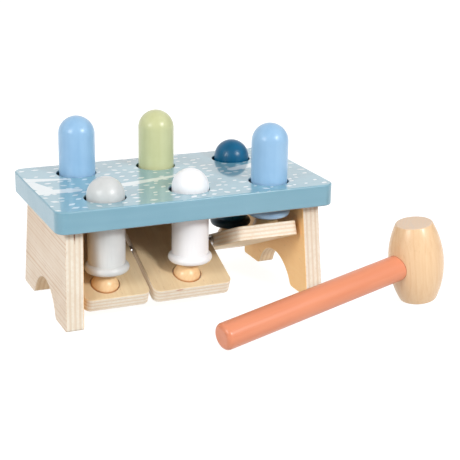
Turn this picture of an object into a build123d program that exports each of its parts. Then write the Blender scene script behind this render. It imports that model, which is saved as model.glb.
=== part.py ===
"""Toy hammering bench: printed top plate on two arched plywood legs, six loose pegs
that stand on three see-saw boards, and a separate wooden hammer lying in front.

Units are millimetres, +X runs along the bench, +Z is up, and the floor is Z = 0.
Everything is modelled with the bench centred on X = Y = 0. The export moves the whole
set so that the middle of its footprint lies over the origin."""
import os
from math import cos, radians, sin

from build123d import *

os.makedirs("parts", exist_ok=True)

# ---- driving dimensions -------------------------------------------------------------
# top plate
plate_l, plate_d, plate_t = 195.0, 114.0, 15.0
plate_corner_r, plate_edge_r = 8.0, 1.0
plate_top = 82.0
plate_under = plate_top - plate_t
hole_dia, hole_rim_r = 27.5, 0.5
peg_pitch, peg_row = 58.5, 32.5

# leg panels: splayed outwards, wider at the floor than at the plate
leg_t = 12.0
leg_top_x, leg_splay = 89.8, 0.04
leg_top_y, leg_flare = 47.0, 0.092
leg_h = plate_under
arch_r, arch_top = 28.5, 19.2
foot_out_r, foot_in_r, leg_edge_r = 1.8, 4.0, 0.6
dowel_dia, dowel_y, dowel_up, dowel_down = 8.0, 30.0, 9.0, 15.0

# see-saw boards on one steel axle
board_l, board_t, board_r, board_edge_r = 98.0, 10.0, 5.0, 0.7
board_mid_w, board_side_w = 56.0, 45.0
# the boards are loose along the axle: where the middle of each one stands
board_left_x, board_mid_x, board_right_x = -54.7, -1.5, 53.5
tilt = 22.5
axle_z, axle_dia, axle_run_gap, axle_l = 31.6, 4.0, 0.05, 174.0
spacer_dia, spacer_play = 6.6, 0.3

# domed pins let into the boards, with a narrow groove round each
knob_y, knob_r, knob_h = 34.4, 9.3, 7.4
knob_left_x, knob_mid_x, knob_right_x = -59.95, -1.8, 58.5
groove_w, groove_d = 0.65, 1.6

# pegs
peg_r, peg_l = 12.5, 64.5
peg_foot_r, peg_foot_h, peg_foot_flat = 15.0, 6.2, 11.8
peg_play = 0.65

# hammer
grip_r, grip_l, grip_end_r = 9.0, 163.6, 3.2
grip_end_x, grip_end_y = -10.7, -114.9
grip_turn, grip_rise, head_roll = 11.2, 7.251, 1.7
head_h, head_end_r, head_belly_r, head_edge_r = 55.8, 12.5, 19.05, 1.2
bore_past = 9.0

parts = {}


def keep(builder, name):
    """Label a finished piece and put it in the set to export."""
    builder.part.label = name
    parts[name] = builder.part


# ---- top plate ----------------------------------------------------------------------
hole_spots = [(c * peg_pitch, r * peg_row) for c in (-1, 0, 1) for r in (-1, 1)]
leg_mid_x = leg_top_x - leg_t / 2

with BuildPart() as top_plate:
    with BuildSketch(Plane.XY.offset(plate_under)):
        RectangleRounded(plate_l, plate_d, plate_corner_r)
    extrude(amount=plate_t)
    fillet(top_plate.faces().sort_by(Axis.Z)[-1].edges(), plate_edge_r)
    fillet(top_plate.faces().sort_by(Axis.Z)[0].edges(), plate_edge_r)
    with BuildSketch(Plane.XY.offset(plate_under)):
        with Locations(*hole_spots):
            Circle(hole_dia / 2)
    extrude(amount=plate_t, mode=Mode.SUBTRACT)
    rims = top_plate.edges().filter_by(GeomType.CIRCLE)
    rims = rims.filter_by(lambda e: abs(e.radius - hole_dia / 2) < 0.01)
    fillet(rims, hole_rim_r)
    # blind holes for the leg dowels, from below
    with BuildSketch(Plane.XY.offset(plate_under)):
        with Locations(*[(s * leg_mid_x, y) for s in (-1, 1) for y in (-dowel_y, dowel_y)]):
            Circle(dowel_dia / 2)
    extrude(amount=dowel_up, mode=Mode.SUBTRACT)
keep(top_plate, "top_plate")


# ---- leg panels ---------------------------------------------------------------------
def leg_panel(side):
    """One end panel: a trapezoid with a round arch, leaning outwards by the splay."""
    foot_y = leg_top_y + leg_flare * leg_h
    foot_shift = leg_splay * leg_h
    slant = (1 + leg_splay**2) ** 0.5
    # the sketch plane is the panel's outer face: local x runs back, local y up the panel
    outer = Plane(
        origin=(side * (leg_top_x + foot_shift), 0, 0),
        x_dir=(0, 1, 0),
        z_dir=(1, 0, side * leg_splay),
    )
    with BuildPart() as panel:
        with BuildSketch(outer):
            with BuildLine():
                Polyline(
                    (-foot_y, 0), (foot_y, 0),
                    (leg_top_y, leg_h * slant), (-leg_top_y, leg_h * slant),
                    close=True,
                )
            make_face()
            with Locations((0, (arch_top - arch_r) * slant)):
                Circle(arch_r, mode=Mode.SUBTRACT)
        extrude(amount=-side * leg_t / slant * 1.0016)
        # trim flat to the floor and to the underside of the plate
        with BuildSketch(Plane.XY.offset(plate_under)):
            Rectangle(4 * plate_l, 2 * plate_d)
        extrude(amount=20, mode=Mode.SUBTRACT)
        with BuildSketch(Plane.XY):
            Rectangle(4 * plate_l, 2 * plate_d)
        extrude(amount=-20, mode=Mode.SUBTRACT)
        upright = panel.edges().filter_by(lambda e: 0.9 * leg_t < e.length < 1.1 * leg_t)
        low = upright.filter_by(lambda e: e.center().Z < 1)
        fillet(low.filter_by(lambda e: abs(e.center().Y) > 40), foot_out_r)
        fillet(low.filter_by(lambda e: abs(e.center().Y) < 40), foot_in_r)
        # ease the long edges of both faces, but not the end under the plate
        rims = panel.edges().filter_by(lambda e: e.length < 0.9 * leg_t or e.length > 1.1 * leg_t)
        fillet(rims.filter_by(lambda e: e.center().Z < plate_under - 1), leg_edge_r)
        # dowel sockets in the top end and the blind bore for the axle
        with BuildSketch(Plane.XY.offset(plate_under)):
            with Locations((side * leg_mid_x, dowel_y), (side * leg_mid_x, -dowel_y)):
                Circle(dowel_dia / 2)
        extrude(amount=-dowel_down, mode=Mode.SUBTRACT)
        with BuildSketch(Plane.YZ.offset(side * axle_l / 2)):
            with Locations((0, axle_z)):
                Circle(axle_dia / 2)
        extrude(amount=-side * 20, mode=Mode.SUBTRACT)
    return panel


for side, name in ((-1, "left_leg_panel"), (1, "right_leg_panel")):
    keep(leg_panel(side), name)

with BuildPart() as leg_dowels:
    with BuildSketch(Plane.XY.offset(plate_under - dowel_down)):
        with Locations(*[(s * leg_mid_x, y) for s in (-1, 1) for y in (-dowel_y, dowel_y)]):
            Circle(dowel_dia / 2)
    extrude(amount=dowel_up + dowel_down)
keep(leg_dowels, "leg_dowels")

# ---- axle and spacers ---------------------------------------------------------------
with BuildPart() as rocker_axle:
    with BuildSketch(Plane.YZ.offset(-axle_l / 2)):
        with Locations((0, axle_z)):
            Circle(axle_dia / 2)
    extrude(amount=axle_l)
keep(rocker_axle, "rocker_axle")

# each space between the boards, and between them and the legs, holds a steel sleeve
leg_inner = leg_top_x + leg_splay * (leg_h - axle_z) - leg_t
edges_x = [-leg_inner]
for x_mid, width in ((board_left_x, board_side_w), (board_mid_x, board_mid_w),
                     (board_right_x, board_side_w)):
    edges_x += [x_mid - width / 2, x_mid + width / 2]
edges_x.append(leg_inner)
with BuildPart() as axle_spacers:
    for start, end in zip(edges_x[::2], edges_x[1::2]):
        with BuildSketch(Plane.YZ.offset(start + spacer_play)):
            with Locations((0, axle_z)):
                Circle(spacer_dia / 2)
                Circle(axle_dia / 2, mode=Mode.SUBTRACT)
        extrude(amount=end - start - 2 * spacer_play)
keep(axle_spacers, "axle_spacers")


# ---- see-saw boards with their domed pins -------------------------------------------
cap_r = (knob_r**2 + knob_h**2) / (2 * knob_h)


def board_plane(angle):
    """The board's middle plane: local x along the bench, local y towards the back."""
    return Plane(
        origin=(0, 0, axle_z),
        x_dir=(1, 0, 0),
        z_dir=(0, -sin(radians(angle)), cos(radians(angle))),
    )


def see_saw(x_mid, width, pin_x, angle):
    mid = board_plane(angle)
    with BuildPart() as board:
        with BuildSketch(mid.offset(-board_t / 2)):
            with Locations((x_mid, 0)):
                RectangleRounded(width, board_l, board_r)
        extrude(amount=board_t)
        fillet(board.faces().sort_by(Axis(mid.origin, mid.z_dir))[-1].edges(), board_edge_r)
        fillet(board.faces().sort_by(Axis(mid.origin, mid.z_dir))[0].edges(), board_edge_r)
        with BuildSketch(mid.offset(-board_t / 2)):
            with Locations((pin_x, -knob_y), (pin_x, knob_y)):
                Circle(knob_r)
        extrude(amount=board_t, mode=Mode.SUBTRACT)
        with BuildSketch(mid.offset(board_t / 2)):
            with Locations((pin_x, -knob_y), (pin_x, knob_y)):
                Circle(knob_r + groove_w)
        extrude(amount=-groove_d, mode=Mode.SUBTRACT)
        with BuildSketch(Plane.YZ.offset(x_mid - width)):
            with Locations((0, axle_z)):
                Circle(axle_dia / 2 + axle_run_gap)
        extrude(amount=2 * width, mode=Mode.SUBTRACT)
    return board


def domed_pin(pin_x, end, angle):
    """A turned pin: a straight shank through the board and a round cap above it."""
    mid = board_plane(angle)
    axis_point = mid.from_local_coords((pin_x, end * knob_y, 0))
    with BuildPart() as pin:
        with BuildSketch(Plane(origin=axis_point, x_dir=(1, 0, 0), z_dir=-mid.y_dir)):
            with BuildLine():
                Polyline((0, board_t / 2 + knob_h), (0, -board_t / 2), (knob_r, -board_t / 2),
                         (knob_r, board_t / 2))
                RadiusArc((knob_r, board_t / 2), (0, board_t / 2 + knob_h), -cap_r)
            make_face()
        revolve(axis=Axis(axis_point, mid.z_dir))
    return pin


places = {
    "left": (board_left_x, board_side_w, knob_left_x, tilt),
    "middle": (board_mid_x, board_mid_w, knob_mid_x, tilt),
    "right": (board_right_x, board_side_w, knob_right_x, -tilt),
}
for name, (x_mid, width, pin_x, angle) in places.items():
    keep(see_saw(x_mid, width, pin_x, angle), f"rocker_board_{name}")
    for end_name, end in (("front", -1), ("back", 1)):
        keep(domed_pin(pin_x, end, angle), f"knob_{end_name}_{name}")


# ---- pegs ---------------------------------------------------------------------------
swing = knob_y * sin(radians(tilt))
cap_centre = board_t / 2 + knob_h - cap_r
pin_mid = axle_z + cap_centre * cos(radians(tilt)) + cap_r + peg_play
foot_low, foot_high = pin_mid - swing, pin_mid + swing


def peg(x, y, foot_z):
    """A round-topped peg with a rolled foot that is too wide for the hole."""
    with BuildPart() as body:
        with BuildSketch(Plane(origin=(x, y, foot_z), x_dir=(1, 0, 0), z_dir=(0, -1, 0))):
            with BuildLine():
                Polyline((0, peg_l), (0, 0), (peg_foot_flat, 0))
                ThreePointArc((peg_foot_flat, 0), (peg_foot_r - 0.95, 0.95), (peg_foot_r, 3.1))
                ThreePointArc((peg_foot_r, 3.1), (peg_foot_r - 0.75, 5.1), (peg_r, peg_foot_h))
                Line((peg_r, peg_foot_h), (peg_r, peg_l - peg_r))
                RadiusArc((peg_r, peg_l - peg_r), (0, peg_l), -peg_r)
            make_face()
        revolve(axis=Axis((x, y, 0), (0, 0, 1)))
    return body


# column, row, height of the foot, and how far the loose peg stands off its hole's centre
peg_set = {
    "peg_back_left": (-1, 1, foot_high, 0.8),
    "peg_front_left": (-1, -1, foot_low, 0.4),
    "peg_back_middle": (0, 1, foot_high, 0.5),
    "peg_front_middle": (0, -1, foot_low, 0.9),
    "peg_back_right": (1, 1, foot_low, 0.6),
    "peg_front_right": (1, -1, foot_high, 0.4),
}
for name, (col, row, foot_z, off) in peg_set.items():
    keep(peg(col * peg_pitch + off, row * peg_row, foot_z), name)

# ---- hammer -------------------------------------------------------------------------
run = Vector(
    cos(radians(grip_turn)) * cos(radians(grip_rise)),
    sin(radians(grip_turn)) * cos(radians(grip_rise)),
    sin(radians(grip_rise)),
)
# the rounded rim of the grip's end rests on the floor, and so does the head's lower rim
grip_end_z = (grip_r - grip_end_r) * cos(radians(grip_rise)) + grip_end_r * (
    1 - sin(radians(grip_rise)))
grip_end = Vector(grip_end_x, grip_end_y, grip_end_z)
head_mid = grip_end + run * grip_l
across = Vector(-sin(radians(grip_turn)), cos(radians(grip_turn)), 0)
# the head is turned a little on the grip
head_up = run.cross(across) * cos(radians(head_roll)) + across * sin(radians(head_roll))

with BuildPart() as hammer_handle:
    with BuildSketch(Plane(origin=grip_end, z_dir=run)):
        Circle(grip_r)
    extrude(amount=grip_l + bore_past)
    fillet(hammer_handle.edges().sort_by(Axis(grip_end, run))[0], grip_end_r)
keep(hammer_handle, "hammer_handle")

with BuildPart() as hammer_head:
    with BuildSketch(Plane(origin=head_mid, x_dir=run, z_dir=run.cross(head_up))):
        with BuildLine():
            Polyline((head_end_r, head_h / 2), (0, head_h / 2), (0, -head_h / 2),
                     (head_end_r, -head_h / 2))
            ThreePointArc((head_end_r, -head_h / 2), (head_belly_r, 0), (head_end_r, head_h / 2))
        make_face()
    revolve(axis=Axis(head_mid, head_up))
    rims = hammer_head.edges().filter_by(GeomType.CIRCLE)
    fillet(rims.filter_by(lambda e: abs(e.radius - head_end_r) < 0.01), head_edge_r)
    with BuildSketch(Plane(origin=grip_end, z_dir=run)):
        Circle(grip_r)
    extrude(amount=grip_l + bore_past, mode=Mode.SUBTRACT)
keep(hammer_head, "hammer_head")

# ---- export -------------------------------------------------------------------------
boxes = [piece.bounding_box() for piece in parts.values()]
lows = [min(getattr(b.min, a) for b in boxes) for a in "XYZ"]
highs = [max(getattr(b.max, a) for b in boxes) for a in "XYZ"]
to_origin = Location((-(lows[0] + highs[0]) / 2, -(lows[1] + highs[1]) / 2, 0))
for name, piece in parts.items():
    export_step(piece.moved(to_origin), f"parts/{name}.step")
print("size", [round(h - l, 2) for l, h in zip(lows, highs)], "floor at", round(lows[2], 3))
print("moved by", to_origin.position)
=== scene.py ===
"""Looks for the toy hammering bench: lacquered top plate with a snow-fleck print, plywood
legs and see-saw boards, turned and painted pegs, and a wooden hammer, in a light studio.

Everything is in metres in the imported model's frame. Patterns are worked out in each
object's own space, so they ride with the piece when a board tilts or a peg rises."""
import math

import bpy
from mathutils import Matrix, Vector


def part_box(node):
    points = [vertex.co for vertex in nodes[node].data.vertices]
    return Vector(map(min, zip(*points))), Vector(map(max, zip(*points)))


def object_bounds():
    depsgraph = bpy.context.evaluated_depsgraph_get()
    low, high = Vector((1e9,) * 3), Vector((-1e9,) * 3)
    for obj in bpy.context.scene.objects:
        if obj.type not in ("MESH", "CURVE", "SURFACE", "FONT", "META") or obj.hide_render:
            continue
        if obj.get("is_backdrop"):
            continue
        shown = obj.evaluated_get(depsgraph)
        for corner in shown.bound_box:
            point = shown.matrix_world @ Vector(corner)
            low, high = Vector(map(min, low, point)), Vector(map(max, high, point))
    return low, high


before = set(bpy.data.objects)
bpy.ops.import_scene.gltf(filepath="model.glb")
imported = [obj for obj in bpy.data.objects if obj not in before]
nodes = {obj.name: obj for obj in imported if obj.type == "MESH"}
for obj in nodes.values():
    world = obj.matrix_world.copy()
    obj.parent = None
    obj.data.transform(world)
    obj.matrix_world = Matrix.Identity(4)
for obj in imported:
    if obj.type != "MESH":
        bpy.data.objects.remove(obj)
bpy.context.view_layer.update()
scene = bpy.context.scene

MM = 0.001
plate_low, plate_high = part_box("top_plate")
bench = (plate_low + plate_high) / 2        # the middle of the bench, on the floor
bench.z = 0.0

# sizes that the patterns follow
PLATE_THICK = 15.0 * MM
LEG_THICK, LEG_LEAN = 12.0 * MM, math.atan(0.04)
LEG_INNER_X = 83.0 * MM                     # to a panel's inner face, just under the plate
ARCH_RADIUS, ARCH_Z = 28.5 * MM, -9.3 * MM  # the arch between a panel's feet
BOARD_THICK, TILT = 10.0 * MM, math.radians(22.5)
AXLE_Z = 31.6 * MM
KNOB_Y, KNOB_RADIUS = 34.4 * MM, 9.3 * MM   # how far along its board a knob stands
PEG_FOOT_RADIUS = 15.0 * MM
# the hammer's barrel: half its height, its radius at the belly, and the bow of its side
HEAD_HALF, HEAD_BELLY, HEAD_BOW = 27.9 * MM, 19.05 * MM, 62.7 * MM


def srgb(r, g, b):
    """An 8-bit display colour as the linear one a shader takes."""
    def linear(v):
        v /= 255.0
        return v / 12.92 if v <= 0.04045 else ((v + 0.055) / 1.055) ** 2.4
    return (linear(r), linear(g), linear(b), 1.0)


# ---- shader wiring ------------------------------------------------------------------
class Shader:
    """A material being wired up. Each helper adds one node and returns its output."""

    def __init__(self, name, **surface):
        self.material = bpy.data.materials.new(name)
        self.material.use_nodes = True
        self.tree = self.material.node_tree
        self.tree.nodes.clear()
        self.surface = self.add("ShaderNodeBsdfPrincipled")
        out = self.add("ShaderNodeOutputMaterial")
        self.tree.links.new(self.surface.outputs["BSDF"], out.inputs["Surface"])
        self.place = self.add("ShaderNodeTexCoord").outputs["Object"]
        for socket, value in surface.items():
            self.surface.inputs[socket.replace("_", " ")].default_value = value

    def add(self, kind, **settings):
        node = self.tree.nodes.new(kind)
        for key, value in settings.items():
            setattr(node, key, value)
        return node

    def put(self, socket, value):
        if value is None:
            return
        if isinstance(value, bpy.types.NodeSocket):
            self.tree.links.new(value, socket)
        else:
            socket.default_value = value

    def math(self, op, a, b=None, clamp=False):
        node = self.add("ShaderNodeMath", operation=op, use_clamp=clamp)
        for socket, value in zip(node.inputs, (a, b)):
            self.put(socket, value)
        return node.outputs[0]

    def vector(self, op, a, b=None, out="Vector"):
        node = self.add("ShaderNodeVectorMath", operation=op)
        self.put(node.inputs[0], a)
        if op == "SCALE":
            self.put(node.inputs["Scale"], b)
        else:
            self.put(node.inputs[1], b)
        return node.outputs[out]

    def split(self, at):
        return self.add_linked("ShaderNodeSeparateXYZ", Vector=at).outputs[:3]

    def join(self, x, y, z):
        return self.add_linked("ShaderNodeCombineXYZ", X=x, Y=y, Z=z).outputs[0]

    def add_linked(self, kind, settings=None, **sockets):
        node = self.add(kind, **(settings or {}))
        for key, value in sockets.items():
            self.put(node.inputs[key], value)
        return node

    def local(self, origin, turn=(0, 0, 0)):
        """The point in a frame of its own, with its zero at origin and turned."""
        return self.add_linked("ShaderNodeMapping", {"vector_type": "TEXTURE"},
                               Vector=self.place, Location=tuple(origin),
                               Rotation=tuple(turn)).outputs[0]

    def noise(self, at, scale, detail=2.0, rough=0.5, out="Fac"):
        return self.add_linked("ShaderNodeTexNoise", Vector=at, Scale=scale,
                               Detail=detail, Roughness=rough).outputs[out]

    def fit(self, value, low, high, to_low=0.0, to_high=1.0, smooth=False):
        node = self.add_linked("ShaderNodeMapRange", {
            "interpolation_type": "SMOOTHSTEP" if smooth else "LINEAR"}, Value=value)
        for socket, number in zip(node.inputs[1:5], (low, high, to_low, to_high)):
            self.put(socket, number)
        return node.outputs[0]

    def mix(self, t, a, b, blend="MIX"):
        node = self.add("ShaderNodeMix", data_type="RGBA", blend_type=blend)
        self.put(node.inputs[0], t)
        self.put(node.inputs[6], a)
        self.put(node.inputs[7], b)
        return node.outputs[2]

    def bump(self, height, depth):
        """Height 0 to 1 over a real depth in metres."""
        return self.add_linked("ShaderNodeBump", Height=height, Distance=depth,
                               Strength=1.0).outputs[0]

    def finish(self, colour=None, roughness=None, normal=None, coat_normal=None):
        self.put(self.surface.inputs["Base Color"], colour)
        self.put(self.surface.inputs["Roughness"], roughness)
        self.put(self.surface.inputs["Normal"], normal)
        self.put(self.surface.inputs["Coat Normal"], coat_normal)
        return self.material


def dress(node, material):
    """Give a carried-over CAD node its material."""
    slots = nodes[node].data.materials
    slots.clear()
    slots.append(material)


# ---- wood ---------------------------------------------------------------------------
HEART = (21.0 * MM, -33.0 * MM)     # how far off the heart of the tree was, across the grain


def fibres(s, at, ring, heart=HEART):
    """Solid wood with its grain along local X and a growth ring every so far. Returns growth
    lines, fibres, streaks and pores, each from 0 to 1."""
    x, y, z = s.split(at)
    slow = s.join(s.math("MULTIPLY", x, 0.12), y, z)
    bend = s.vector("SUBTRACT", s.noise(slow, 38.0, 1.5, out="Color"), (0.5, 0.5, 0.5))
    bent = s.vector("ADD", at, s.vector("SCALE", bend, 7.0 * MM))
    bx, by, bz = s.split(bent)
    off_y = s.math("ADD", by, heart[0])
    off_z = s.math("ADD", bz, heart[1])
    radius = s.math("SQRT", s.math("ADD", s.math("MULTIPLY", off_y, off_y),
                                   s.math("MULTIPLY", off_z, off_z)))
    uneven = s.math("MULTIPLY", s.noise(s.join(0.0, by, bz), 95.0, 1.0), 2.4)
    year = s.math("ADD", s.math("DIVIDE", radius, ring), uneven)
    part = s.math("FRACT", year)
    weight = s.add_linked("ShaderNodeTexWhiteNoise", {"noise_dimensions": "1D"},
                          W=s.math("FLOOR", year)).outputs["Value"]
    late = s.math("MULTIPLY", s.fit(part, 0.5, 0.9, smooth=True),
                  s.fit(part, 0.9, 1.0, 1.0, 0.0))
    late = s.math("MULTIPLY", late, s.fit(weight, 0.0, 1.0, 0.15, 1.0))
    strand = s.noise(s.join(s.math("MULTIPLY", bx, 0.035), by, bz), 2600.0, 3.0, 0.6)
    streak = s.noise(s.join(s.math("MULTIPLY", bx, 0.05), by, bz), 420.0, 2.0)
    dots = s.add_linked("ShaderNodeTexVoronoi", {"feature": "F1"},
                        Vector=s.join(s.math("MULTIPLY", bx, 0.11), by, bz),
                        Scale=900.0, Randomness=1.0)
    pore = s.math("MULTIPLY", s.fit(dots.outputs["Distance"], 0.16, 0.26, 1.0, 0.0),
                  s.fit(s.noise(at, 260.0, 1.0), 0.52, 0.62))
    return late, strand, streak, pore


def figure(s, late, strand, streak, lines, fine):
    """How far the wood goes from its pale colour to its warm one, by how much the growth
    lines and the finer fibres show."""
    soft = s.math("ADD", s.math("MULTIPLY", s.fit(streak, 0.3, 0.7), 0.6),
                  s.math("MULTIPLY", s.fit(strand, 0.25, 0.75), 0.4))
    return s.math("ADD", s.math("MULTIPLY", late, lines),
                  s.math("MULTIPLY", soft, fine), clamp=True)


CROSS_SHARE = 0.37      # of each pale-and-crossed pair of plies, how much is the crossed one
GLUE, PORE, STAIN = srgb(182, 136, 94), srgb(150, 104, 66), srgb(206, 168, 126)
ARCH_TINT = srgb(250, 224, 190)


def plywood(name, node, turn, thick, face_up, face_down, edges, seed, ring,
            flaw=None, arch=None):
    """Seven-ply board. Local Z runs through the sheet and local X is the face grain. Each
    face is (pale, warm, how much the growth lines show, how much the fibres show), and the
    edges are (pale, dark). A flaw is (place, reach each way, colour), and an arch is (a point
    on its axis, which runs along X, and its radius)."""
    edge_pale, edge_dark = edges
    s = Shader(name, Specular_IOR_Level=0.42)
    low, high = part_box(node)
    at = s.local((low + high) / 2, turn)
    x, y, z = s.split(at)
    depth = s.math("ADD", s.math("DIVIDE", z, thick), 0.5)
    wave = s.noise(s.vector("ADD", at, (seed, 0.0, 0.0)), 45.0, 2.0)
    wavy = s.math("ADD", depth, s.math("MULTIPLY", s.math("SUBTRACT", wave, 0.5), 0.025))
    # four thick pale plies with three thinner crossed ones between them
    level = s.math("MULTIPLY", s.fit(wavy, 0.0, 1.0, 0.002, 0.998), 4 - CROSS_SHARE)
    part = s.math("FRACT", level)
    cross = s.math("GREATER_THAN", part, 1 - CROSS_SHARE)
    layer = s.math("ADD", s.math("FLOOR", level), s.math("MULTIPLY", cross, 0.5))
    own = s.vector("SCALE", s.join(s.math("MULTIPLY", layer, 3.4), layer, 0.0), 0.062)
    straight = s.vector("ADD", at, s.vector("ADD", own, (seed, seed * 2, 0.0)))
    turned = s.join(y, x, z)
    grain_at = s.add("ShaderNodeMix", data_type="VECTOR")
    s.put(grain_at.inputs[0], cross)
    s.put(grain_at.inputs[4], straight)
    s.put(grain_at.inputs[5], s.vector("ADD", turned, own))
    late, strand, streak, pore = fibres(s, grain_at.outputs[1], ring)

    up, down = (s.mix(figure(s, late, strand, streak, lines, fine), pale, warm)
                for pale, warm, lines, fine in (face_up, face_down))
    face = s.mix(s.fit(z, -0.1 * thick, 0.1 * thick), down, up)

    # the edge shows the plies, each with its own grain, and a line of glue at each seam
    seam = s.math("ABSOLUTE", s.math("SUBTRACT", part, 1 - CROSS_SHARE / 2))
    band = s.fit(seam, CROSS_SHARE / 2 - 0.07, CROSS_SHARE / 2 + 0.05, 1.0, 0.0)
    edge = s.mix(s.math("MULTIPLY", band, 0.8), edge_pale, edge_dark)
    edge = s.mix(s.math("MULTIPLY", s.fit(streak, 0.35, 0.65), 0.4), edge, edge_dark)
    edge = s.mix(s.math("MULTIPLY", s.fit(strand, 0.2, 0.8), 0.22), edge, edge_dark)
    glue = s.fit(s.math("ABSOLUTE", s.math("SUBTRACT", seam, CROSS_SHARE / 2)),
                 0.01, 0.04, 0.4, 0.0)
    edge = s.mix(glue, edge, GLUE)
    if flaw:
        spot, reach, tint = flaw
        gone = s.vector("DIVIDE", s.vector("SUBTRACT", s.place, tuple(spot)), tuple(reach))
        far = s.math("ADD", s.vector("LENGTH", gone, out="Value"),
                     s.math("MULTIPLY", s.noise(s.place, 900.0, 2.0), 0.7))
        edge = s.mix(s.fit(far, 0.95, 1.35, 0.95, 0.0), edge, tint)
    if arch:
        # the cut of the arch is tinted a little browner and darker
        middle, radius = arch
        gone = s.vector("MULTIPLY", s.vector("SUBTRACT", s.place, middle), (0.0, 1.0, 1.0))
        near = s.fit(s.vector("LENGTH", gone, out="Value"), radius + 0.3 * MM,
                     radius + 0.9 * MM, 0.85, 0.0)
        edge = s.mix(near, edge, ARCH_TINT, "MULTIPLY")

    # the face's colour carries on a little way round the rounded edge
    skin = s.fit(s.math("ABSOLUTE", z), thick * 0.5 - 0.55 * MM, thick * 0.5 - 0.25 * MM)
    colour = s.mix(skin, edge, face)
    colour = s.mix(s.math("MULTIPLY", pore, 0.22), colour, PORE)
    patch = s.noise(at, 34.0, 3.0)
    colour = s.mix(s.fit(patch, 0.35, 0.7, 0.0, 0.17), colour, STAIN, "MULTIPLY")
    height = s.math("SUBTRACT", s.math("ADD", s.math("MULTIPLY", strand, 0.55),
                                       s.math("MULTIPLY", late, -0.25)),
                    s.math("MULTIPLY", s.math("ADD", pore, glue), 0.6))
    rough = s.fit(s.math("ADD", strand, patch), 0.6, 1.4, 0.46, 0.62)
    return s.finish(colour, rough, s.bump(height, 0.07 * MM))


leg_outside = (srgb(240, 225, 206), srgb(212, 177, 142), 0.66, 0.32)
# painted light: the inner faces are warmer and brighter than the outer ones, for warm light
# bounced between the wooden parts
leg_inside = (srgb(255, 210, 146), srgb(250, 192, 123), 0.08, 0.3)
leg_edges = (srgb(240, 233, 219), srgb(225, 207, 182))
board_face = (srgb(232, 210, 172), srgb(212, 181, 136), 0.1, 0.45)
board_edges = (srgb(249, 242, 228), srgb(235, 213, 182))

# a dark split in the left panel's front edge, just under the plate
split = ((bench.x - LEG_INNER_X - 0.9 * MM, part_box("left_leg_panel")[0].y + 4.5 * MM,
          plate_low.z - 2.0 * MM), (0.55 * MM, 9 * MM, 7.5 * MM), srgb(140, 84, 46))
for side, name in ((-1, "left_leg_panel"), (1, "right_leg_panel")):
    # local X back along the bench, local Z out through the panel's outer face
    out = Vector((side * math.cos(LEG_LEAN), 0.0, math.sin(LEG_LEAN)))
    along = Vector((0.0, 1.0, 0.0))
    basis = Matrix((along, out.cross(along), out)).transposed()
    dress(name, plywood(
        f"ply_{name}", name, basis.to_euler(), LEG_THICK, leg_outside, leg_inside, leg_edges,
        seed=0.37 + side * 0.11, ring=2.8 * MM, flaw=split if side < 0 else None,
        arch=((0.0, bench.y, ARCH_Z), ARCH_RADIUS)))

# a small reddish knot in the middle board's front edge
knot = ((bench.x - 11.9 * MM, bench.y - 46.8 * MM, 16.4 * MM), (3.4 * MM, 1.6 * MM, 0.5 * MM),
        srgb(206, 142, 112))
# the right board is stored tipped back, the other two are tipped forward
board_tilt = {"left": TILT, "middle": TILT, "right": -TILT}
for index, (name, tilt) in enumerate(board_tilt.items()):
    basis = Matrix.Rotation(tilt, 3, "X") @ Matrix.Rotation(math.pi / 2, 3, "Z")
    dress(f"rocker_board_{name}", plywood(
        f"ply_board_{name}", f"rocker_board_{name}", basis.to_euler(), BOARD_THICK,
        board_face, board_face, board_edges, seed=0.9 + 0.23 * index, ring=4.2 * MM,
        flaw=knot if name == "middle" else None))


def solid_wood(name, node, along, pale, warm, ring=2.2 * MM, lines=0.3, fine=0.6,
               gloss=0.36, coat=0.8, satin=0.17, heart=HEART, middle=None, end=None,
               rim=None):
    """Turned hardwood with a thin clear finish and its grain along a direction. An end is
    (how far the end grain is from the middle, its tint), and a rim is a radius towards which
    the colour darkens, a painted shade for the shadowed groove round a knob."""
    s = Shader(name, Specular_IOR_Level=0.5, Coat_Weight=coat, Coat_Roughness=satin)
    low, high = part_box(node)
    basis = Vector(along).to_track_quat("X", "Z")
    at = s.local(middle or (low + high) / 2, basis.to_euler())
    late, strand, streak, pore = fibres(s, at, ring, heart)
    colour = s.mix(figure(s, late, strand, streak, lines, fine), pale, warm)
    colour = s.mix(s.math("MULTIPLY", pore, 0.16), colour, srgb(170, 116, 72))
    if end:
        # end grain drinks the finish and stays duller
        reach, tint = end
        is_end = s.fit(s.math("ABSOLUTE", s.split(at)[0]), reach - 0.5 * MM, reach - 0.1 * MM)
        speckle = s.fit(s.math("ADD", strand, late), 0.3, 1.2, 0.74, 1.0)
        colour = s.mix(s.math("MULTIPLY", is_end, speckle), colour, tint)
        s.put(s.surface.inputs["Coat Weight"], s.fit(is_end, 0.0, 1.0, coat, 0.06))
        gloss = s.fit(is_end, 0.0, 1.0, gloss, gloss + 0.25)
    patch = s.noise(at, 35.0, 2.0)
    colour = s.mix(s.fit(patch, 0.35, 0.7, 0.0, 0.12), colour, warm)
    height = s.math("SUBTRACT", s.math("MULTIPLY", strand, 0.5), s.math("MULTIPLY", pore, 0.7))
    if rim:
        # painted shade: the colour darkens towards the rim, for the shadow in the groove round
        # a knob
        y, z = s.split(at)[1:]
        out = s.vector("LENGTH", s.join(0.0, y, z), out="Value")
        groove_shade = s.fit(out, rim - 0.3 * MM, rim - 0.05 * MM, 0.0, 0.7)
        colour = s.mix(groove_shade, colour, srgb(196, 118, 58))
    rough = s.math("ADD", s.fit(s.math("ADD", strand, patch), 0.6, 1.4, 0.0, 0.14), gloss)
    return s.finish(colour, rough, s.bump(height, 0.04 * MM))


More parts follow.
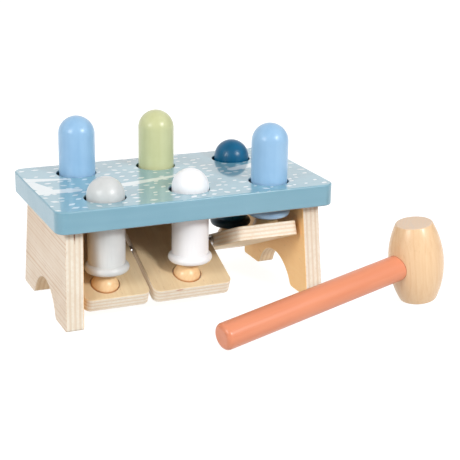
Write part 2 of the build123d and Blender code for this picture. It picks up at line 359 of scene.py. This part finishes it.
for row, reach in (("front", -KNOB_Y), ("back", KNOB_Y)):
    for name, tilt in board_tilt.items():
        node = f"knob_{row}_{name}"
        low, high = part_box(node)
        # a point on the knob's axis, where it stands on its board
        middle = Vector(((low.x + high.x) / 2, bench.y + reach * math.cos(tilt),
                         AXLE_Z + reach * math.sin(tilt)))
        dress(node, solid_wood(
            f"wood_{node}", node, (0.0, -math.sin(tilt), math.cos(tilt)),
            srgb(243, 210, 163), srgb(231, 179, 121), ring=1.9 * MM, lines=0.25, fine=0.5,
            gloss=0.34, coat=0.35, middle=middle, rim=KNOB_RADIUS))
dress("leg_dowels", solid_wood("wood_dowels", "leg_dowels", (0, 0, 1), srgb(240, 212, 172),
                               srgb(208, 164, 116)))

# the hammer lies along this line: yawed on the floor and rising towards the head
YAW, RISE, ROLL = math.radians(11.2), math.radians(7.251), math.radians(1.7)
haft = Vector((math.cos(YAW) * math.cos(RISE), math.sin(YAW) * math.cos(RISE), math.sin(RISE)))
across = Vector((-math.sin(YAW), math.cos(YAW), 0.0))
upward = haft.cross(across) * math.cos(ROLL) + across * math.sin(ROLL)
dress("hammer_head", solid_wood(
    "wood_hammer_head", "hammer_head", upward, srgb(240, 205, 162), srgb(221, 172, 122),
    ring=3.2 * MM, lines=0.22, fine=0.5, gloss=0.4, coat=0.6, satin=0.25,
    heart=(142.0 * MM, 205.0 * MM), end=(HEAD_HALF, srgb(221, 199, 179))))


# ---- paint --------------------------------------------------------------------------
TOOL_PITCH = 0.55 * MM          # between the fine rings that turning leaves
# bare wood where the paint wears through, and the painted shade in the crease where a handle
# meets its head
BARE_WOOD, JOINT_SHADE = srgb(236, 220, 196), srgb(150, 72, 44)
# where the painted shadow on a peg's foot fades out
SHADE_LOW, SHADE_HIGH = -26.5 * MM, -24.5 * MM      # along a peg, from its middle


def paint(name, node, axis, colour, shade, coat, satin, streaks=0.5, gloss=0.3, mottle=0.5,
          turned=True, foot=None, wear=0.15, painted_foot_shadow=None, seam=None):
    """Satin paint over turned wood: the grain and the tool's rings show through faintly.
    A foot is a radius where handling wears it, and a painted foot shadow darkens the lowest
    part of the foot. A seam is (the middle, direction, belly radius and bow radius) of the
    barrel that the piece runs into, and a thin dark line of painted shade is drawn where they
    meet."""
    s = Shader(name, Specular_IOR_Level=0.3, Coat_Weight=coat, Coat_Roughness=satin)
    low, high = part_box(node)
    basis = Vector(axis).to_track_quat("X", "Z")
    at = s.local((low + high) / 2, basis.to_euler())
    x, y, z = s.split(at)
    grain = s.noise(s.join(s.math("MULTIPLY", x, 0.05), y, z), 900.0, 3.0, 0.6)
    broad = s.noise(s.join(s.math("MULTIPLY", x, 0.07), y, z), 190.0, 2.0)
    cloud = s.noise(at, 60.0, 3.0)
    speck = s.noise(at, 1500.0, 2.0)
    tone = s.math("ADD", s.math("MULTIPLY", s.fit(broad, 0.3, 0.7), streaks),
                  s.math("MULTIPLY", s.fit(cloud, 0.35, 0.65), mottle), clamp=True)
    tint = s.mix(tone, colour, shade)
    tint = s.mix(s.math("MULTIPLY", s.fit(speck, 0.55, 0.75), 0.25 * mottle), tint, shade)
    rings = s.math("SINE", s.math("MULTIPLY", s.math(
        "ADD", x, s.math("MULTIPLY", cloud, 0.6 * MM)), 2 * math.pi / TOOL_PITCH))
    height = s.math("ADD", s.math("MULTIPLY", grain, 0.7),
                    s.math("MULTIPLY", rings, 0.08 if turned else 0.0))
    height = s.math("ADD", height, s.math("MULTIPLY", speck, 0.15))
    rough = s.fit(s.math("ADD", cloud, grain), 0.7, 1.3, gloss - 0.04, gloss + 0.08)
    if foot:
        # handling has rubbed the paint thin round the widest part of the foot
        out = s.vector("LENGTH", s.join(0.0, y, z), out="Value")
        rub = s.math("MULTIPLY", s.fit(out, foot - 0.5 * MM, foot),
                     s.fit(s.noise(at, 420.0, 3.0), 0.55, 0.72))
        tint = s.mix(s.math("MULTIPLY", rub, wear), tint, BARE_WOOD)
    # painted shadow: the lowest part of the foot is darkened, for the shade under the plate
    if painted_foot_shadow:
        tint = s.mix(s.fit(x, SHADE_LOW, SHADE_HIGH, 0.85, 0.0), tint, painted_foot_shadow)
    if seam:
        # painted shade: a thin dark line in the crease where the handle enters the barrel
        middle, upright, belly, bow = seam
        gone = s.vector("SUBTRACT", s.place, tuple(middle))
        rise = s.vector("DOT_PRODUCT", gone, tuple(upright), out="Value")
        out = s.vector("LENGTH", s.vector("CROSS_PRODUCT", gone, tuple(upright)), out="Value")
        barrel = s.math("SUBTRACT", belly, s.math("DIVIDE", s.math("MULTIPLY", rise, rise),
                                                  2 * bow))
        line = s.fit(s.math("SUBTRACT", out, barrel), 0.25 * MM, 0.7 * MM, 0.6, 0.0)
        tint = s.mix(line, tint, JOINT_SHADE)
    return s.finish(tint, rough, s.bump(height, 0.035 * MM))


# each peg's colour, shade, weight of the coat and how satin it is
light_blue = (srgb(158, 197, 229), srgb(143, 184, 219), 0.38, 0.29)
peg_paints = {
    "peg_back_left": light_blue,
    "peg_front_right": light_blue,
    "peg_back_middle": (srgb(209, 211, 164), srgb(198, 200, 149), 0.38, 0.29),
    "peg_front_left": (srgb(215, 217, 216), srgb(200, 202, 201), 0.6, 0.36),
    "peg_front_middle": (srgb(247, 247, 248), srgb(240, 240, 242), 0.38, 0.29),
    "peg_back_right": (srgb(0, 99, 140), srgb(0, 82, 117), 0.2, 0.29),
}
# the dark peg hardly wears, and its foot is painted darker than its top, a painted shadow for
# the shade under the plate
peg_extras = {"peg_back_right": {"wear": 0.03, "painted_foot_shadow": srgb(12, 42, 58)}}
for node, (colour, shade, coat, satin) in peg_paints.items():
    dress(node, paint(f"paint_{node}", node, (0, 0, 1), colour, shade, coat, satin,
                      foot=PEG_FOOT_RADIUS, **peg_extras.get(node, {})))

head_low, head_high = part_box("hammer_head")
dress("hammer_handle", paint(
    "paint_handle", "hammer_handle", haft, srgb(231, 148, 111), srgb(222, 136, 99),
    coat=0.25, satin=0.22, streaks=0.75, gloss=0.36, mottle=0.15, turned=False,
    seam=((head_low + head_high) / 2, upward.normalized(), HEAD_BELLY, HEAD_BOW)))


# ---- steel axle and its spacers -----------------------------------------------------
def drawn_steel(name, node):
    s = Shader(name, Metallic=1.0)
    low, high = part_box(node)
    at = s.local((low + high) / 2)
    x, y, z = s.split(at)
    scratch = s.noise(s.join(s.math("MULTIPLY", x, 0.02), y, z), 5200.0, 3.0)
    haze = s.noise(at, 160.0, 2.0)
    colour = s.mix(s.fit(haze, 0.3, 0.7), srgb(206, 207, 208), srgb(176, 178, 180))
    return s.finish(colour, s.fit(scratch, 0.3, 0.7, 0.18, 0.38), s.bump(scratch, 0.01 * MM))


dress("rocker_axle", drawn_steel("steel_axle", "rocker_axle"))
dress("axle_spacers", drawn_steel("steel_spacers", "axle_spacers"))

# ---- top plate ----------------------------------------------------------------------
# soft white dabs of the print, in millimetres from the middle of the plate:
# start, end, half width at the start, half width at the end
DABS = (
    ((-96.0, 23.5), (-68.0, 17.5), 4.5, 1.6),
    ((-97.0, 13.0), (-90.0, -2.0), 6.0, 5.0),
    ((-97.0, -8.0), (-71.0, -10.0), 5.5, 4.0),
    ((-36.0, -8.5), (2.0, 0.5), 4.2, 2.0),
    ((47.0, 3.5), (66.0, 9.5), 3.6, 4.4),
)
FLECK_PITCH, FLECK_LONG, FLECK_WIDE = 8.8 * MM, 2.7 * MM, 1.7 * MM
FLECK_SWING, FLECKS_MISSING = 0.8, 0.1      # radians either way, and the share left out
FLECK_COVER, DAB_COVER = 0.72, 0.82         # how much of the paint each hides
PRINT_WHITE = srgb(240, 244, 244)
HOLES_X, HOLES_Y = 90.0 * MM, 50.0 * MM     # all the holes are inside this, the sides outside


def snow_flecks(s, at, wobble):
    """One small lens-shaped dab to a cell, uneven in size and lie, with a few left out."""
    flat = s.vector("ADD", at, s.vector("SCALE", wobble, 0.9 * MM))
    flat = s.vector("MULTIPLY", flat, (1.0, 1.0, 0.0))
    cell = s.add_linked("ShaderNodeTexVoronoi", {"feature": "F1", "voronoi_dimensions": "2D"},
                        Vector=flat, Scale=1 / FLECK_PITCH, Randomness=0.6)
    chance = s.split(cell.outputs["Color"])
    off = s.vector("SUBTRACT", flat, cell.outputs["Position"])
    swing = s.join(0.0, 0.0, s.fit(chance[2], 0.0, 1.0, -FLECK_SWING, FLECK_SWING))
    along, over = s.split(s.add_linked(
        "ShaderNodeVectorRotate", {"rotation_type": "EULER_XYZ"},
        Vector=off, Rotation=swing).outputs[0])[:2]
    size = s.fit(chance[0], 0.0, 1.0, 0.52, 1.14)
    reach = s.math("ADD", s.math("DIVIDE", s.math("ABSOLUTE", along), FLECK_LONG), s.math(
        "POWER", s.math("DIVIDE", s.math("ABSOLUTE", over), FLECK_WIDE), 1.6))
    fleck = s.fit(s.math("SUBTRACT", reach, size), -0.12, 0.1, 1.0, 0.0)
    return s.math("MULTIPLY", fleck, s.math("GREATER_THAN", chance[1], FLECKS_MISSING))


def soft_dabs(s, at, wobble):
    """The larger dabs: tapered strokes with a slightly ragged outline."""
    flat = s.vector("MULTIPLY", s.vector("ADD", at, s.vector("SCALE", wobble, 0.22 * MM)),
                    (1.0, 1.0, 0.0))
    nearest = None
    for start, end, wide, narrow in DABS:
        run = (Vector(end) - Vector(start)) * MM
        gone = s.vector("SUBTRACT", flat, (start[0] * MM, start[1] * MM, 0.0))
        t = s.math("DIVIDE", s.vector("DOT_PRODUCT", gone, (run.x, run.y, 0.0), out="Value"),
                   run.length_squared, clamp=True)
        beside = s.vector("SCALE", (run.x, run.y, 0.0), t)
        away = s.vector("DISTANCE", gone, beside, out="Value")
        away = s.math("SUBTRACT", away, s.fit(t, 0.0, 1.0, wide * MM, narrow * MM))
        nearest = away if nearest is None else s.math("MINIMUM", nearest, away)
    return s.fit(nearest, -0.3 * MM, 0.2 * MM, 1.0, 0.0, smooth=True)


def lacquered_plate(name):
    """Blue paint with a white print on its top, under a hard clear coat. Local Z is zero at
    the top face and falls to minus the plate's thickness."""
    s = Shader(name, Specular_IOR_Level=0.5, Coat_Weight=1.0, Coat_Roughness=0.06,
               Coat_IOR=1.82)
    at = s.local((bench.x, bench.y, plate_high.z))
    x, y, z = s.split(at)
    grain = s.noise(s.join(s.math("MULTIPLY", x, 0.05), y, z), 700.0, 3.0, 0.6)
    cloud = s.noise(at, 24.0, 3.0)
    brush = s.noise(s.join(s.math("MULTIPLY", x, 0.04), y, z), 260.0, 2.0)
    tone = s.math("ADD", s.math("MULTIPLY", s.fit(cloud, 0.35, 0.65), 0.5),
                  s.math("MULTIPLY", s.fit(brush, 0.3, 0.7), 0.5))
    # painted light: the top is given a lighter blue than the sides, as though it caught more
    # light
    paint_side = s.mix(tone, srgb(113, 162, 181), srgb(100, 153, 173))
    paint_top = s.mix(tone, srgb(122, 173, 190), srgb(111, 163, 181))
    is_top = s.fit(z, -0.75 * MM, -0.35 * MM)
    base = s.mix(is_top, paint_side, paint_top)

    # the paint is a little lighter along the rounded upper edge
    edge = s.math("MULTIPLY", s.fit(z, -1.1 * MM, -0.7 * MM),
                  s.fit(z, -0.25 * MM, -0.08 * MM, 1.0, 0.0))
    base = s.mix(edge, base, srgb(130, 171, 187))

    # the paint stops raggedly just round the lower edge, and the underside is bare board
    ragged = s.math("MULTIPLY", s.noise(at, 300.0, 2.0), 0.8 * MM)
    bare = s.fit(s.math("ADD", z, ragged), 0.5 * MM - PLATE_THICK, 0.9 * MM - PLATE_THICK,
                 1.0, 0.0)
    speck = s.noise(at, 1400.0, 2.0)
    board = s.mix(s.fit(speck, 0.35, 0.65), srgb(142, 110, 78), srgb(118, 88, 60))
    base = s.mix(bare, base, board)

    wobble = s.vector("SUBTRACT", s.noise(at, 420.0, 2.0, out="Color"), (0.5, 0.5, 0.5))
    white = s.math("MAXIMUM", s.math("MULTIPLY", snow_flecks(s, at, wobble), FLECK_COVER),
                   s.math("MULTIPLY", soft_dabs(s, at, wobble), DAB_COVER))
    white = s.math("MULTIPLY", white, s.math("GREATER_THAN", z, -0.2 * MM))
    colour = s.mix(white, base, PRINT_WHITE)
    height = s.math("ADD", s.math("MULTIPLY", grain, 0.6), s.math("MULTIPLY", brush, 0.4))
    soft = s.fit(s.math("ADD", cloud, grain), 0.7, 1.3, 0.3, 0.42)
    peel = s.noise(at, 240.0, 2.0)

    # the clear coat lies thickest on the top and is rubbed thin along the upper edge
    coat = s.math("ADD", s.fit(z, -0.2 * MM, -0.05 * MM, 0.0, 0.9),
                  s.fit(z, -1.4 * MM, -0.9 * MM, 0.6, 0.1))
    # inside the peg holes the colour is painted dark, a painted shade, and the lacquer is thin
    hole_shade = s.math("MULTIPLY", s.math("LESS_THAN", s.math("ABSOLUTE", x), HOLES_X),
                   s.math("LESS_THAN", s.math("ABSOLUTE", y), HOLES_Y))
    hole_shade = s.math("MULTIPLY", hole_shade, s.fit(z, -1.4 * MM, -0.9 * MM, 1.0, 0.0))
    painted = s.fit(z, 0.8 * MM - PLATE_THICK, 1.0 * MM - PLATE_THICK)
    colour = s.mix(s.math("MULTIPLY", hole_shade, painted), colour, srgb(40, 58, 68))
    coat = s.math("MULTIPLY", coat, s.fit(hole_shade, 0.0, 1.0, 1.0, 0.1))
    s.put(s.surface.inputs["Coat Weight"], coat)
    return s.finish(colour, soft, s.bump(height, 0.04 * MM), s.bump(peel, 0.012 * MM))


dress("top_plate", lacquered_plate("lacquer_plate"))


# ---- studio -------------------------------------------------------------------------
def stage_sheet(name, verts, faces, paper):
    """A plain sheet of the set round the bench."""
    mesh = bpy.data.meshes.new(name)
    mesh.from_pydata(verts, [], faces)
    mesh.materials.append(paper)
    sheet = bpy.data.objects.new(name, mesh)
    scene.collection.objects.link(sheet)
    sheet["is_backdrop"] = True
    return sheet


def white_paper():
    """Paper that glows evenly, so that it stays white with faint shadows on it."""
    s = Shader("paper_white", Specular_IOR_Level=0.1, Emission_Strength=0.88,
               Emission_Color=(1.0, 1.0, 1.0, 1.0))
    fleck = s.noise(s.place, 55.0, 3.0)
    return s.finish(
        s.mix(s.fit(fleck, 0.3, 0.7), (0.32, 0.32, 0.32, 1), (0.29, 0.29, 0.29, 1)),
        s.fit(fleck, 0.3, 0.7, 0.85, 0.95))


def sheet_floor(paper, half=6.0, steps=24):
    """The flat floor. It shows in reflections, but the light that it would throw up comes
    from the lower half of the tent."""
    rows = [-half + 2 * half * i / steps for i in range(steps + 1)]
    verts = [(x, y, 0.0) for y in rows for x in rows]
    wide = steps + 1
    faces = [(j * wide + i, j * wide + i + 1, (j + 1) * wide + i + 1, (j + 1) * wide + i)
             for j in range(steps) for i in range(steps)]
    floor = stage_sheet("floor_sheet", verts, faces, paper)
    floor.visible_diffuse = False


def paper_wall(paper, radius=5.8, height=4.0, steps=72):
    """Paper standing round the studio. It closes the horizon and lights nothing."""
    turns = [2 * math.pi * i / steps for i in range(steps)]
    verts = [(radius * math.cos(t), radius * math.sin(t), z) for z in (0.0, height)
             for t in turns]
    faces = [(i, steps + i, steps + (i + 1) % steps, (i + 1) % steps) for i in range(steps)]
    wall = stage_sheet("paper_wall", verts, faces, paper)
    wall.visible_diffuse = wall.visible_glossy = wall.visible_shadow = False


paper = white_paper()
sheet_floor(paper)
paper_wall(paper)


def light_tent(low=0.22, high=0.67, behind=1.05, overhead=0.43, below=0.63):
    """A white tent: brightest behind the bench, darkest low down on the camera's side. Each
    number is the strength in one part of it."""
    world = bpy.data.worlds.new("studio")
    scene.world = world
    world.use_nodes = True
    tree = world.node_tree
    ray = tree.nodes.new("ShaderNodeTexCoord")
    parts = tree.nodes.new("ShaderNodeSeparateXYZ")
    tree.links.new(ray.outputs["Generated"], parts.inputs[0])

    def ramp(axis, start, end, before, after):
        """From one strength to the next as the direction's axis goes from start to end."""
        node = tree.nodes.new("ShaderNodeMapRange")
        tree.links.new(parts.outputs[axis], node.inputs["Value"])
        for name, number in (("From Min", start), ("From Max", end), ("To Max", after)):
            node.inputs[name].default_value = number
        if isinstance(before, float):
            node.inputs["To Min"].default_value = before
        else:
            tree.links.new(before, node.inputs["To Min"])
        return node.outputs[0]

    front = ramp("Z", 0.1, 0.6, low, high)
    around = ramp("Y", 0.25, 0.8, front, behind)
    above = ramp("Z", 0.6, 0.95, around, overhead)
    whole = tree.nodes.new("ShaderNodeMix")
    tree.links.new(ramp("Z", -0.02, 0.02, 0.0, 1.0), whole.inputs[0])
    whole.inputs[2].default_value = below
    tree.links.new(above, whole.inputs[3])
    tree.links.new(whole.outputs[0], tree.nodes["Background"].inputs["Strength"])
    tree.nodes["Background"].inputs["Color"].default_value = (1.0, 1.0, 1.0, 1.0)


light_tent()


def softbox(name, azimuth, elevation, size, watts, distance=1.6):
    """A square soft light aimed at the bench. Azimuth 0 stands in front, at -Y."""
    a, e = math.radians(azimuth), math.radians(elevation)
    aim = Vector((bench.x, bench.y, 70 * MM))
    towards = Vector((math.sin(a) * math.cos(e), -math.cos(a) * math.cos(e), math.sin(e)))
    data = bpy.data.lights.new(name, "AREA")
    data.shape, data.size, data.energy = "SQUARE", size, watts
    lamp = bpy.data.objects.new(name, data)
    lamp.location = aim + towards * distance
    lamp.rotation_mode = "QUATERNION"
    lamp.rotation_quaternion = (-towards).to_track_quat("-Z", "Y")
    scene.collection.objects.link(lamp)


softbox("softbox_right", azimuth=25.0, elevation=29.0, size=0.3, watts=14.0)
softbox("softbox_left", azimuth=-63.0, elevation=25.0, size=0.5, watts=10.3)

# ---- camera -------------------------------------------------------------------------
# it stands in front of the bench on its left and looks down a little
camera = bpy.data.objects.new("camera", bpy.data.cameras.new("camera"))
scene.collection.objects.link(camera)
camera.data.sensor_width, camera.data.lens = 36.0, 93.31
camera.data.clip_start, camera.data.clip_end = 0.01, 50.0
stand = bench + Vector((-0.283185, -0.742902, 0.299900))
right = Vector((0.916753, -0.399166, 0.015168))
up = Vector((0.109334, 0.287263, 0.951591))
back = right.cross(up)
camera.matrix_world = Matrix.Translation(stand) @ Matrix(
    (right, up, back)).transposed().to_4x4()
scene.camera = camera
scene.view_settings.view_transform = "Standard"

low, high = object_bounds()
